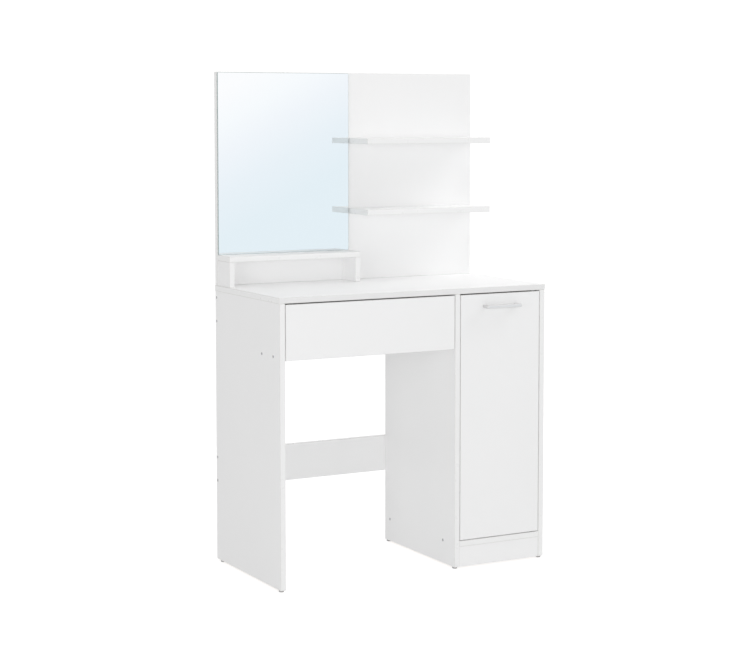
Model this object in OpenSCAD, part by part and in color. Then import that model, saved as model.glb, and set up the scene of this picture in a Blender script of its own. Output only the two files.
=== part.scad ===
// Vanity table with mirror: a desk with one drawer, a cupboard with one door,
// a mirror on a back board, two display shelves and a low riser under the mirror.
// Millimetres, +Z up. The origin is on the floor, under the middle of the whole box.

/* [Desk] */
// Width of the desktop
desk_w = 800; // [700:10:1000]
// Depth of the desktop and of the side panels
desk_d = 400; // [380:5:460]
// Height of the desktop's upper face above the floor
desk_h = 754; // [720:2:790]
// Thickness of every faced board
board_t = 15; // [15:1:18]
// How far the desktop stands out past the side panels at each end
panel_inset = 1.5; // [0:0.5:5]
// Height of the rails across the back
rail_h = 100; // [90:5:120]
// Height of the lower back rail's underside above the floor
lower_rail_z = 204; // [150:2:300]

/* [Cupboard] */
// Clear width between the middle panel and the right panel
cupboard_w = 252; // [230:2:320]
// Height of the bottom board's upper face above the floor
cupboard_floor_z = 75; // [60:1:110]
// Height of the inner shelf's underside above the floor
inner_shelf_z = 400; // [250:10:500]
// Gap beside and below the door and beside the drawer front
front_gap = 2; // [1.8:0.1:3]
// Gap above the door and the drawer front
top_gap = 3.2; // [2.5:0.1:4]
// Distance of the door's pivot from the door's right edge
pivot_inset = 17.5; // [15:0.5:20]

/* [Drawer] */
// Height of the drawer front
drawer_front_h = 143; // [130:1:160]
// Height of the drawer's side boards
drawer_side_h = 98; // [80:2:104]
// Thickness of the drawer's side and back boards
drawer_t = 12; // [10:1:13]
// Length of the drawer's side boards and of the runners
drawer_len = 350; // [300:10:350]

/* [Back boards and mirror] */
// Height of the two boards that stand on the desktop
back_h = 573; // [500:1:650]
// Width of each of those boards
back_w = 397; // [340:1:397]
// Thickness of the mirror glass
mirror_t = 4; // [3:0.5:5]
// Depth of each display shelf
shelf_d = 111; // [80:1:140]
// Clear height above each display shelf
shelf_space = 179.5; // [120:0.5:190]
// Clear height inside the riser
riser_clear = 67.5; // [50:0.5:90]
// Depth of the riser
riser_d = 75; // [60:5:100]

/* [Hardware] */
// How far the handle stands out from the door
handle_out = 24; // [20:1:35]
// Distance between the handle's two screw holes
handle_pitch = 96; // [64, 96]
// Height of the handle's bow
handle_tall = 9; // [7:0.5:12]
// Height of the glide feet
glide_h = 5; // [3:1:8]

/* [Hidden] */
$fn = 48;

// Clearance between a fastener and its hole, so that solids never overlap
play = 0.05;
thin = 3;           // hardboard for the cupboard's back and the drawer's bottom
groove_d = 4;       // depth of the grooves that hold the hardboard
groove_play = 0.2;  // room around the hardboard in a groove
FACED = [0.93, 0.93, 0.93];
STEEL = [0.72, 0.73, 0.75];
NYLON = [0.96, 0.96, 0.95];

// Frame of places: x from the left, y from the front, z from the floor
x_left = -desk_w / 2;
y_front = (handle_out - desk_d) / 2;
y_back = y_front + desk_d;
z_under = desk_h - board_t;
top_z = desk_h + back_h;

// Upright panels, by their left faces
left_x = x_left + panel_inset;
right_x = -left_x - board_t;
middle_x = right_x - cupboard_w - board_t;
bay_x0 = left_x + board_t;
bay_w = middle_x - bay_x0;
cup_x0 = middle_x + board_t;

// Rails
rail_y = y_back - board_t;
upper_rail_z = z_under - rail_h;
under_rail_w = 100;
under_rail_y = y_front + 23;
drawer_z0 = z_under - top_gap - drawer_front_h;
under_rail_z = drawer_z0 + 1;

// Cupboard
back_inset = board_t + 8;
back_y = y_back - back_inset - thin;
floor_z = cupboard_floor_z - board_t;
door_x0 = cup_x0 + front_gap;
door_w = cupboard_w - 2 * front_gap;
door_z0 = cupboard_floor_z + front_gap;
door_h = z_under - top_gap - door_z0;
inner_shelf_y = y_front + 30;
pin_d = 5;
pin_len = 16;

// Pivot hinge of the door
pivot_x = door_x0 + door_w - pivot_inset;
pivot_y = y_front + board_t / 2;
pivot_d = 5;
pivot_len = 24;
bush_d = 8;
bush_len = 10;
flange_d = 13;

// Back boards, mirror, shelves and riser
back_board_y = y_back - board_t;
back_x = [left_x, left_x + back_w];
tape_t = 1;
mirror_margin = 1.5;
riser_margin = 1.5;
shelf_margin = 2;
shelf_z = [for (i = [2, 1]) top_z - i * (shelf_space + board_t)];
riser_y = back_board_y - riser_d;
riser_w = back_w - 2 * riser_margin;
riser_top_z = desk_h + riser_clear;
mirror_z = riser_top_z + board_t;
mirror_y = back_board_y - tape_t - mirror_t;

// Drawer and its roller runners
runner_gap = 12.5;
runner_z = under_rail_z + board_t + 2.5;
box_x0 = bay_x0 + runner_gap;
box_w = bay_w - 2 * runner_gap;
box_y = y_front + board_t;
drawer_runner_y = box_y + 1;
sheet = 1.2;
channel_h = 28;         // height of the channel on the panel
channel_w = 10.5;       // how far the channel stands out from the panel
channel_lip = 4;        // its turned-in edges
channel_screw_z = 23.5;
angle_lift = 6;         // underside of the drawer's side above the channel's underside
angle_h = 17.8;
angle_screw_z = 14;
track_z = 21.4;         // track of the drawer's angle, which the front roller carries
track_x = 3.2;
roller_r = 9;
roller_w = 6;
axle_d = 4;
axle_end_d = 6;         // head that keeps the roller on its axle
axle_collar_d = 7;
axle_inset = 12;
front_roller = [3, axle_inset, 12];
rear_roller = [2.8, drawer_len - axle_inset, 10.5];
box_z = runner_z + angle_lift;
bottom_z = box_z + 11;
runner_y = box_y + 2;

// Handle
handle_leg = 14;
handle_bar = 7;
handle_w = handle_pitch + handle_leg;
handle_z = door_z0 + door_h - 33;
handle_x = door_x0 + door_w / 2;

// Directions that fasteners point in, from the head to the tip
RIGHT = [1, 0, 0];
LEFT = [-1, 0, 0];
FORWARD = [0, -1, 0];
UP = [0, 0, 1];
DOWN = [0, 0, -1];

// Fasteners: kind, place of the head, direction, length
rail_screw_z = [for (z = [upper_rail_z, lower_rail_z], s = [0.18, 0.82]) z + s * rail_h];
under_rail_screw_y = [for (s = [0.16, 0.84]) under_rail_y + s * under_rail_w];
floor_screw_y = [y_front + 62, y_back - 44];
frame_fasteners = concat(
    [for (z = rail_screw_z) ["confirmat", [left_x, y_back - board_t / 2, z], RIGHT, 50]],
    [for (z = rail_screw_z)
        ["confirmat", [right_x + board_t, y_back - board_t / 2, z], LEFT, 50]],
    [for (z = rail_screw_z) ["confirmat", [middle_x + board_t / 2, y_back, z], FORWARD, 50]],
    [for (y = under_rail_screw_y)
        ["confirmat", [left_x, y, under_rail_z + board_t / 2], RIGHT, 50]],
    [for (y = under_rail_screw_y)
        ["confirmat", [cup_x0, y, under_rail_z + board_t / 2], LEFT, 50]],
    [for (y = floor_screw_y) ["confirmat", [middle_x, y, floor_z + board_t / 2], RIGHT, 50]],
    [for (y = floor_screw_y)
        ["confirmat", [right_x + board_t, y, floor_z + board_t / 2], LEFT, 50]]);
back_fasteners = [for (x0 = back_x, s = [0.14, 0.5, 0.86])
    ["confirmat", [x0 + s * back_w, y_back - board_t / 2, z_under], UP, 50]];
shelf_fasteners = concat(
    [for (z = shelf_z, s = [0.12, 0.5, 0.88])
        ["wood_screw", [back_x[1] + s * back_w, y_back, z + board_t / 2], FORWARD, 40]],
    [for (s = [0.12, 0.5, 0.88])
        ["wood_screw", [back_x[0] + s * back_w, y_back, riser_top_z + board_t / 2], FORWARD, 40]]);
cam_y = [y_front + 60, y_back - 130];
cam_drop = 24;
panel_dowel_y = [y_front + 95, y_back - 110];
riser_side_x = [back_x[0] + riser_margin, back_x[0] + riser_margin + riser_w - board_t];
riser_dowel_y = [for (s = [0.25, 0.75]) riser_y + s * riser_d];
dowels = concat(
    [for (x = [left_x, middle_x, right_x], y = panel_dowel_y)
        ["dowel", [x + board_t / 2, y, z_under - 20], UP, 30]],
    [for (x = riser_side_x, y = riser_dowel_y)
        ["dowel", [x + board_t / 2, y, desk_h - 10], UP, 30]],
    [for (x = riser_side_x, y = riser_dowel_y)
        ["dowel", [x + board_t / 2, y, riser_top_z - 20], UP, 30]],
    [for (z = [desk_h + 0.25 * back_h, desk_h + 0.53 * back_h, desk_h + 0.86 * back_h])
        ["dowel", [back_x[1] - 15, y_back - board_t / 2, z], RIGHT, 30]],
    [for (x = [cup_x0 - 10, right_x - 20])
        ["dowel", [x, y_front + 1 + board_t / 2, glide_h + (floor_z - glide_h) / 2], RIGHT, 30]]);
cam_bolt_list = [for (x = [left_x, middle_x, right_x], y = cam_y)
    ["cam_bolt", [x + board_t / 2, y, z_under - cam_drop], UP, cam_drop + 11]];
cam_lock_list = [for (y = cam_y, p = [[left_x + board_t, LEFT], [cup_x0, LEFT], [right_x, RIGHT]])
    ["cam_lock", [p[0], y, z_under - cam_drop], p[1], 12]];
shelf_pin_list = [for (y = [inner_shelf_y + 40, back_y - 45], p = [[cup_x0 - 8, 1], [right_x - 8, 1]])
    ["shelf_pin", [p[0], y, inner_shelf_z - pin_d / 2], RIGHT, pin_len]];
glide_list = [for (x = [left_x, middle_x, right_x], y = [y_front + 12, y_back - 25])
    ["glide", [x + board_t / 2, y, 0], UP, glide_h + 14]];
runner_screw_y = [25, 0.5 * drawer_len, drawer_len - 45];
cabinet_runner_fasteners = [for (y = runner_screw_y, p = [[bay_x0 + sheet, LEFT], [middle_x - sheet, RIGHT]])
    ["pan_screw", [p[0], runner_y + y, runner_z + channel_screw_z], p[1],
        12]];
catch_size = [14, 26, 44];
catch_pos = [cup_x0, y_front + board_t + 1.4, handle_z - 62];
catch_fasteners = [for (s = [-1, 1])
    ["pan_screw", [cup_x0 + 4, catch_pos.y + 17, catch_pos.z + s * 14], LEFT, 14]];
strike_size = [12, 1, 38];
strike_x = cup_x0 + 4;
root_fasteners = concat(frame_fasteners, back_fasteners, shelf_fasteners, dowels, cam_bolt_list,
    cam_lock_list, shelf_pin_list, glide_list, cabinet_runner_fasteners, catch_fasteners);

drawer_cam_z = [box_z + 0.45 * drawer_side_h, box_z + 0.8 * drawer_side_h];
drawer_side_mid = [box_x0 + drawer_t / 2, box_x0 + box_w - drawer_t / 2];
drawer_cam_bolts_list = [for (x = drawer_side_mid, z = drawer_cam_z)
    ["cam_bolt", [x, box_y + cam_drop, z], FORWARD, cam_drop + 10]];
drawer_cam_locks_list = [for (z = drawer_cam_z, p = [[box_x0, RIGHT], [box_x0 + box_w, LEFT]])
    ["cam_lock", [p[0], box_y + cam_drop, z], p[1], 10]];
drawer_back_y = box_y + drawer_len - drawer_t;
drawer_fasteners = [for (z = drawer_cam_z, p = [[box_x0, RIGHT], [box_x0 + box_w, LEFT]])
    ["wood_screw", [p[0], drawer_back_y + drawer_t / 2, z], p[1], 40]];
drawer_runner_fasteners = [for (y = runner_screw_y,
        p = [[box_x0 - sheet, RIGHT], [box_x0 + box_w + sheet, LEFT]])
    ["pan_screw", [p[0], drawer_runner_y + y, runner_z + angle_screw_z], p[1], 11]];
all_drawer_fasteners = concat(drawer_cam_bolts_list, drawer_cam_locks_list, drawer_fasteners,
    drawer_runner_fasteners);

handle_fasteners = [for (s = [-1, 1])
    ["pan_screw", [handle_x + s * handle_pitch / 2, y_front + board_t, handle_z], FORWARD, 24]];
pivot_fasteners = [
    ["pivot", [pivot_x, pivot_y, z_under - top_gap - 15], UP, pivot_len],
    ["pivot", [pivot_x, pivot_y, door_z0 + 15], DOWN, pivot_len]];
bush_fasteners = [
    ["bush", [pivot_x, pivot_y, z_under], UP, bush_len],
    ["bush", [pivot_x, pivot_y, cupboard_floor_z], DOWN, bush_len]];

// Turns +Z to a direction
module turned(direction) {
    rotate([direction.z < 0 ? 180 : -90 * direction.y, 90 * direction.x, 0]) children();
}

// One fastener along +Z with its head at the origin; gap makes it the hole that it needs
module fastener_shape(kind, len, gap) {
    if (kind == "confirmat") {
        difference() {
            union() {
                cylinder(h = 2.6, d1 = 8 + 2 * gap, d2 = 5 + 2 * gap);
                cylinder(h = len + gap, d = 5 + 2 * gap);
            }
            if (gap == 0) translate([0, 0, -1]) cylinder(h = 3.3, d = 4, $fn = 6);
        }
    }
    if (kind == "wood_screw") {
        difference() {
            union() {
                cylinder(h = 2.2, d1 = 8 + 2 * gap, d2 = 4 + 2 * gap);
                cylinder(h = len + gap, d = 4 + 2 * gap);
            }
            if (gap == 0) translate([0, 0, -1]) cylinder(h = 2.4, d = 3, $fn = 6);
        }
    }
    if (kind == "pan_screw") {
        if (gap == 0) translate([0, 0, -1.3]) cylinder(h = 1.3, d = 6);
        cylinder(h = len + gap, d = 3 + 2 * gap);
    }
    if (kind == "dowel") cylinder(h = len, d = 8 + 2 * gap);
    if (kind == "cam_bolt") {
        cylinder(h = 4, d = 7 + 2 * gap);
        cylinder(h = len + gap, d = 5 + 2 * gap);
    }
    if (kind == "cam_lock") {
        difference() {
            cylinder(h = len + gap, d = 15 + 2 * gap);
            if (gap == 0) translate([0, 0, -1]) cylinder(h = 3, d = 6, $fn = 6);
        }
    }
    if (kind == "shelf_pin") cylinder(h = len + gap, d = pin_d + 2 * gap);
    if (kind == "glide") {
        if (gap == 0) cylinder(h = glide_h, d = 14);
        cylinder(h = len + gap, d = 3 + 2 * gap);
    }
    if (kind == "pivot") cylinder(h = len + gap, d = pivot_d + 2 * gap);
    if (kind == "bush") cylinder(h = len + gap, d = bush_d + 2 * gap);
}

module fastener(f, gap = 0) {
    translate(f[1]) turned(f[2]) fastener_shape(f[0], f[3], gap);
}

module fasteners(list) {
    for (f = list) fastener(f);
}

// True where a fastener's own box reaches into the box from lo to hi
function touches(f, lo, hi) =
    let (a = f[1], b = f[1] + f[3] * f[2], r = f[0] == "cam_lock" ? 7.5 : 1)
    min([for (i = [0 : 2]) max(a[i], b[i]) + r - lo[i]]) > 0 &&
    min([for (i = [0 : 2]) hi[i] - min(a[i], b[i]) + r]) > 0;

// A board from lo, of a size, drilled for each fastener of the list that reaches it
module board(lo, size, list = []) {
    difference() {
        translate(lo) cube(size);
        for (f = list) if (touches(f, lo, lo + size)) fastener(f, play);
    }
}

// Upright panel by the place of its left face
module panel(x, depth = desk_d) {
    board([x, y_front, glide_h], [board_t, depth, z_under - glide_h], root_fasteners);
}

// Slot for the cupboard's hardboard back
module back_groove() {
    translate([cup_x0 - groove_d, back_y - groove_play, floor_z - 0.5])
        cube([cupboard_w + 2 * groove_d, thin + 2 * groove_play, z_under - floor_z + 1]);
}

// Slot for the drawer's hardboard bottom
module bottom_groove() {
    translate([box_x0 + drawer_t - groove_d, box_y - groove_d, bottom_z - groove_play])
        cube([box_w - 2 * drawer_t + 2 * groove_d, drawer_len + groove_d + 1,
            thin + 2 * groove_play]);
}

module desktop() {
    color(FACED) board([x_left, y_front, z_under], [desk_w, desk_d, board_t],
        concat(root_fasteners, bush_fasteners));
}

module left_side_panel() { color(FACED) panel(left_x); }

// The middle panel stops in front of the back rails, which run on behind it
module middle_panel() {
    color(FACED) difference() {
        panel(middle_x, desk_d - board_t);
        back_groove();
    }
}

module right_side_panel() {
    color(FACED) difference() {
        panel(right_x);
        back_groove();
    }
}

module back_rail(z) {
    color(FACED) board([bay_x0, rail_y, z], [right_x - bay_x0, board_t, rail_h], root_fasteners);
}

module upper_back_rail() { back_rail(upper_rail_z); }

module lower_back_rail() { back_rail(lower_rail_z); }

module under_drawer_rail() {
    color(FACED) board([bay_x0, under_rail_y, under_rail_z], [bay_w, under_rail_w, board_t],
        root_fasteners);
}

module cupboard_bottom_board() {
    color(FACED) board([cup_x0, y_front, floor_z],
        [cupboard_w, back_y - groove_play - y_front, board_t],
        concat(root_fasteners, bush_fasteners));
}

module kickboard() {
    color(FACED) board([cup_x0, y_front + 1, glide_h], [cupboard_w, board_t, floor_z - glide_h],
        root_fasteners);
}

module cupboard_back_board() {
    color([0.9, 0.9, 0.88])
        translate([cup_x0 - groove_d + groove_play, back_y, floor_z])
            cube([cupboard_w + 2 * (groove_d - groove_play), thin, z_under - floor_z - 0.5]);
}

module cupboard_shelf() {
    color(FACED) translate([cup_x0 + 0.5, inner_shelf_y, inner_shelf_z])
        cube([cupboard_w - 1, back_y - 1 - inner_shelf_y, board_t]);
}

module shelf_pins() { color(STEEL) fasteners(shelf_pin_list); }

module glide_feet() { color("dimgray") fasteners(glide_list); }

module mirror_back_board() {
    color(FACED) board([back_x[0], back_board_y, desk_h], [back_w, board_t, back_h],
        root_fasteners);
}

module shelf_back_board() {
    color(FACED) board([back_x[1], back_board_y, desk_h], [back_w, board_t, back_h],
        root_fasteners);
}

module mirror_glass() {
    color([0.85, 0.93, 0.97]) translate([back_x[0] + mirror_margin, mirror_y, mirror_z])
        cube([back_w - 2 * mirror_margin, mirror_t, top_z - 1 - mirror_z]);
}

// Four upright strips of double-sided foam tape
module mirror_tape() {
    color("white") for (s = [0.1, 0.37, 0.63, 0.9])
        translate([back_x[0] + s * back_w - 10, mirror_y + mirror_t, mirror_z + 30])
            cube([20, tape_t, top_z - mirror_z - 60]);
}

module display_shelf(z) {
    color(FACED) board([back_x[1] + shelf_margin, back_board_y - shelf_d, z],
        [back_w - 2 * shelf_margin, shelf_d, board_t], root_fasteners);
}

module upper_display_shelf() { display_shelf(shelf_z[1]); }

module lower_display_shelf() { display_shelf(shelf_z[0]); }

module riser_top_board() {
    color(FACED) board([riser_side_x[0], riser_y, riser_top_z], [riser_w, riser_d, board_t],
        root_fasteners);
}

module riser_side(x) {
    color(FACED) board([x, riser_y, desk_h], [board_t, riser_d, riser_clear], root_fasteners);
}

module riser_left_side() { riser_side(riser_side_x[0]); }

module riser_right_side() { riser_side(riser_side_x[1]); }

module frame_screws() { color(STEEL) fasteners(frame_fasteners); }

module back_board_screws() { color(STEEL) fasteners(back_fasteners); }

module shelf_screws() { color(STEEL) fasteners(shelf_fasteners); }

module wood_dowels() { color("burlywood") fasteners(dowels); }

module cam_bolts() { color(STEEL) fasteners(cam_bolt_list); }

// The round locks, each with the pocket that takes its bolt's head
module cam_set(locks, bolts) {
    color([0.6, 0.6, 0.62]) difference() {
        fasteners(locks);
        for (f = bolts) fastener(f, 0.3);
    }
}

module cam_locks() { cam_set(cam_lock_list, cam_bolt_list); }

// Steel channel on the panel, from the panel's face towards +X, with the front roller's axle
module cabinet_runner() {
    difference() {
        union() {
            cube([sheet, drawer_len, channel_h]);
            cube([channel_w, drawer_len, sheet]);
            translate([channel_w - sheet, 0, 0]) cube([sheet, drawer_len, channel_lip]);
            translate([0, 0, channel_h - sheet]) cube([channel_lip, drawer_len, sheet]);
        }
        for (y = runner_screw_y) translate([-1, y, channel_screw_z]) rotate([0, 90, 0])
            cylinder(h = 4, d = 3 + 2 * play);
    }
    translate([0, front_roller.y, front_roller.z]) rotate([0, 90, 0]) {
        cylinder(h = 2.8, d = axle_collar_d);
        cylinder(h = 9.8, d = axle_d);
        translate([0, 0, 9.2]) cylinder(h = 0.6, d = axle_end_d);
    }
}

// Steel angle under the drawer's side, with the rear roller's axle
module drawer_runner() {
    difference() {
        union() {
            translate([runner_gap - sheet, 0, angle_lift - sheet])
                cube([sheet, drawer_len, angle_h]);
            translate([runner_gap - sheet, 0, angle_lift - sheet])
                cube([sheet + drawer_t, drawer_len, sheet]);
            translate([track_x, 0, track_z]) cube([runner_gap - track_x, drawer_len, sheet]);
        }
        for (y = runner_screw_y) translate([runner_gap - 4, y, angle_screw_z]) rotate([0, 90, 0])
            cylinder(h = 6, d = 3 + 2 * play);
    }
    translate([0, rear_roller.y, rear_roller.z]) rotate([0, 90, 0]) {
        translate([0, 0, 9]) cylinder(h = runner_gap - sheet - 9 + 0.1, d = axle_collar_d);
        translate([0, 0, 2]) cylinder(h = runner_gap - sheet - 2, d = axle_d);
        translate([0, 0, 2]) cylinder(h = 0.6, d = axle_end_d);
    }
}

// Nylon roller on its axle, from a place in the runner's own frame
module roller(place) {
    color(NYLON) translate(place) rotate([0, 90, 0]) difference() {
        cylinder(h = roller_w, r = roller_r);
        translate([0, 0, -1]) cylinder(h = roller_w + 2, d = axle_d + 0.12);
        translate([0, 0, roller_w - 1]) difference() {
            cylinder(h = 2, r = roller_r - 1.5);
            translate([0, 0, -1]) cylinder(h = 4, r = 4);
        }
    }
}

// Puts a runner's own frame on the left panel, or mirrored on the middle panel
module on_left(y) { translate([bay_x0, y, runner_z]) children(); }

module on_right(y) { translate([middle_x, y, runner_z]) mirror([1, 0, 0]) children(); }

module left_cabinet_runner() { color("white") on_left(runner_y) cabinet_runner(); }

module right_cabinet_runner() { color("white") on_right(runner_y) cabinet_runner(); }

module cabinet_runner_screws() { color(STEEL) fasteners(cabinet_runner_fasteners); }

module front_left_roller() { on_left(runner_y) roller(front_roller); }

module front_right_roller() { on_right(runner_y) roller(front_roller); }

module drawer_front() {
    color(FACED) difference() {
        board([bay_x0 + front_gap, y_front, drawer_z0],
            [bay_w - 2 * front_gap, board_t, drawer_front_h], all_drawer_fasteners);
        bottom_groove();
    }
}

module drawer_side(x) {
    color(FACED) difference() {
        board([x, box_y, box_z], [drawer_t, drawer_len, drawer_side_h], all_drawer_fasteners);
        bottom_groove();
    }
}

module drawer_left_side() { drawer_side(box_x0); }

module drawer_right_side() { drawer_side(box_x0 + box_w - drawer_t); }

module drawer_back_board() {
    color(FACED) board([box_x0 + drawer_t, drawer_back_y, bottom_z + thin + groove_play],
        [box_w - 2 * drawer_t, drawer_t, box_z + drawer_side_h - bottom_z - thin - groove_play],
        all_drawer_fasteners);
}

module drawer_bottom_board() {
    color([0.9, 0.9, 0.88])
        translate([box_x0 + drawer_t - groove_d + groove_play, box_y - groove_d + groove_play,
            bottom_z])
            cube([box_w - 2 * drawer_t + 2 * (groove_d - groove_play),
                drawer_len + groove_d - groove_play, thin]);
}

module drawer_cam_bolts() { color(STEEL) fasteners(drawer_cam_bolts_list); }

module drawer_cam_locks() { cam_set(drawer_cam_locks_list, drawer_cam_bolts_list); }

module drawer_screws() { color(STEEL) fasteners(drawer_fasteners); }

module left_drawer_runner() { color("white") on_left(drawer_runner_y) drawer_runner(); }

module right_drawer_runner() { color("white") on_right(drawer_runner_y) drawer_runner(); }

module drawer_runner_screws() { color(STEEL) fasteners(drawer_runner_fasteners); }

module rear_left_roller() { on_left(drawer_runner_y) roller(rear_roller); }

module rear_right_roller() { on_right(drawer_runner_y) roller(rear_roller); }

module cupboard_door() {
    color(FACED) board([door_x0, y_front, door_z0], [door_w, board_t, door_h],
        concat(pivot_fasteners, handle_fasteners));
}

// Flat outline of the bow, from above: the bar in front and a leg at each end
module handle_outline() {
    corner = 5;
    inner_corner = 3;
    difference() {
        hull() {
            for (s = [-1, 1]) translate([s * (handle_w / 2 - corner), corner - handle_out])
                circle(r = corner);
            translate([-handle_w / 2, -1]) square([handle_w, 1]);
        }
        hull() {
            for (s = [-1, 1])
                translate([s * (handle_w / 2 - handle_leg - inner_corner),
                    handle_bar + inner_corner - handle_out])
                    circle(r = inner_corner);
            translate([handle_leg - handle_w / 2, -0.5]) square([handle_w - 2 * handle_leg, 2]);
        }
    }
}

module door_handle() {
    color([0.78, 0.79, 0.8]) difference() {
        translate([handle_x, y_front, handle_z - handle_tall / 2])
            linear_extrude(height = handle_tall) handle_outline();
        for (f = handle_fasteners) fastener(f, play);
    }
}

module handle_screws() { color(STEEL) fasteners(handle_fasteners); }

module upper_pivot_pin() { color(STEEL) fastener(pivot_fasteners[0]); }

module lower_pivot_pin() { color(STEEL) fastener(pivot_fasteners[1]); }

// Flanged nylon bush in a board's edge of the cupboard, bored for the pin
module pivot_bush(f, flange_t) {
    color(NYLON) translate(f[1]) turned(f[2]) difference() {
        union() {
            cylinder(h = bush_len, d = bush_d);
            translate([0, 0, -flange_t]) cylinder(h = flange_t, d = flange_d);
        }
        translate([0, 0, -5]) cylinder(h = bush_len + 10, d = pivot_d + 0.12);
    }
}

module upper_pivot_bush() { pivot_bush(bush_fasteners[0], top_gap - 0.5); }

module lower_pivot_bush() { pivot_bush(bush_fasteners[1], front_gap - 0.3); }

// Plastic box of the catch, hollow in front where the magnets sit
module magnetic_catch() {
    color(NYLON) difference() {
        translate(catch_pos - [0, 0, catch_size.z / 2]) cube(catch_size);
        translate(catch_pos + [3.5, -1, -9]) cube([8.5, 13, 18]);
        for (s = [-1, 1]) translate(catch_pos + [4, 11, s * 14 - 5]) cube([20, 12, 10]);
        for (f = catch_fasteners) fastener(f, play);
    }
}

module catch_magnets() {
    color("dimgray") translate(catch_pos + [4, 0, -8.5]) cube([7.5, 11.5, 17]);
}

module strike_plate() {
    color(STEEL) translate([strike_x, y_front + board_t, catch_pos.z - strike_size.z / 2])
        cube(strike_size);
}

module catch_screws() { color(STEEL) fasteners(catch_fasteners); }

desktop();
left_side_panel();
middle_panel();
right_side_panel();
upper_back_rail();
lower_back_rail();
under_drawer_rail();
cupboard_bottom_board();
kickboard();
cupboard_back_board();
cupboard_shelf();
shelf_pins();
glide_feet();
mirror_back_board();
shelf_back_board();
mirror_glass();
mirror_tape();
upper_display_shelf();
lower_display_shelf();
riser_top_board();
riser_left_side();
riser_right_side();
frame_screws();
back_board_screws();
shelf_screws();
wood_dowels();
cam_bolts();
cam_locks();
left_cabinet_runner();
right_cabinet_runner();
cabinet_runner_screws();
front_left_roller();
front_right_roller();
drawer_front();
drawer_left_side();
drawer_right_side();
drawer_back_board();
drawer_bottom_board();
drawer_cam_bolts();
drawer_cam_locks();
drawer_screws();
left_drawer_runner();
right_drawer_runner();
drawer_runner_screws();
rear_left_roller();
rear_right_roller();
cupboard_door();
door_handle();
handle_screws();
upper_pivot_pin();
lower_pivot_pin();
upper_pivot_bush();
lower_pivot_bush();
magnetic_catch();
catch_magnets();
strike_plate();
catch_screws();
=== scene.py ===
import math

import bmesh
import bpy
import numpy as np
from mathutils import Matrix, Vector


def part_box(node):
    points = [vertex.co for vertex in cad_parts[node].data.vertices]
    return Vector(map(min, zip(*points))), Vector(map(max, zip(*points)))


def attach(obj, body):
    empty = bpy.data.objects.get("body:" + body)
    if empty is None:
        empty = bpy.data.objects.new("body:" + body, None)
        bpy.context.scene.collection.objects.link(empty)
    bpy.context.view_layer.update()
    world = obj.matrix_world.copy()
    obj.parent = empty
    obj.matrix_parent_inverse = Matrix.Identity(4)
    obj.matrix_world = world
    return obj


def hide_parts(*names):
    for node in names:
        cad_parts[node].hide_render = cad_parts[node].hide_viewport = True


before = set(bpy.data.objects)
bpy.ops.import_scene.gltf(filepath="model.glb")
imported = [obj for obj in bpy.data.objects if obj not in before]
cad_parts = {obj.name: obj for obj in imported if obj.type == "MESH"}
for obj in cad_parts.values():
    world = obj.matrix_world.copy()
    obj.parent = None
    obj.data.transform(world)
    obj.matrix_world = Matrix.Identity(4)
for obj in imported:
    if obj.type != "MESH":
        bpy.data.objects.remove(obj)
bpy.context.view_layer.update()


# ---------------------------------------------------------------------------------------------
# Upright panels: three boards of white-faced particle board, 15 mm thick, standing on glides.
# Each is sawn to size and edged with a glued plastic band, and its arrises are lightly eased.
# Screws go in through their outer faces; the ends that are hidden or near the floor are bare.

def noise(nodes, links, scale, detail=2.0, stretch=(1, 1, 1)):
    """A noise pattern that follows the piece's own place, in cells per metre, drawn out by stretch."""
    place = nodes.new("ShaderNodeTexCoord")
    mapping = nodes.new("ShaderNodeMapping")
    mapping.inputs["Scale"].default_value = stretch
    pattern = nodes.new("ShaderNodeTexNoise")
    pattern.inputs["Scale"].default_value = scale
    pattern.inputs["Detail"].default_value = detail
    links.new(place.outputs["Object"], mapping.inputs["Vector"])
    links.new(mapping.outputs["Vector"], pattern.inputs["Vector"])
    return pattern.outputs["Fac"]


def spread(nodes, links, value, low, high):
    """Stretches the middle of a noise pattern to the range from low to high."""
    ranged = nodes.new("ShaderNodeMapRange")
    ranged.inputs["From Min"].default_value = 0.3
    ranged.inputs["From Max"].default_value = 0.7
    ranged.inputs["To Min"].default_value = low
    ranged.inputs["To Max"].default_value = high
    links.new(value, ranged.inputs["Value"])
    return ranged.outputs["Result"]


def blended(nodes, links, factor, first, second):
    """Mixes two colours, or two colour outputs, by a pattern."""
    mix = nodes.new("ShaderNodeMix")
    mix.data_type = "RGBA"
    links.new(factor, mix.inputs[0])
    for socket, colour in ((mix.inputs[6], first), (mix.inputs[7], second)):
        if isinstance(colour, tuple):
            socket.default_value = (*colour, 1)
        else:
            links.new(colour, socket)
    return mix.outputs[2]


def finish_of(name, tones, cloud, rough, rough_scale, grain, relief, stretch=(1, 1, 1), metal=0.0):
    """A surface finish: two tones mixed by a broad cloud, uneven gloss, and a fine relief.

    cloud, rough_scale and grain are in cells per metre, and relief is the relief's height in metres.
    """
    material = bpy.data.materials.new(name)
    material.use_nodes = True
    nodes, links = material.node_tree.nodes, material.node_tree.links
    shader = nodes["Principled BSDF"]
    shader.inputs["Metallic"].default_value = metal
    broad = spread(nodes, links, noise(nodes, links, cloud, 3.0, stretch), 0, 1)
    links.new(blended(nodes, links, broad, *tones), shader.inputs["Base Color"])
    gloss = noise(nodes, links, rough_scale, 4.0, stretch)
    links.new(spread(nodes, links, gloss, *rough), shader.inputs["Roughness"])
    bump = nodes.new("ShaderNodeBump")
    bump.inputs["Distance"].default_value = relief
    links.new(noise(nodes, links, grain, 3.0, stretch), bump.inputs["Height"])
    links.new(bump.outputs["Normal"], shader.inputs["Normal"])
    material.diffuse_color = (*tones[0], 1)
    return material


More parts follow.
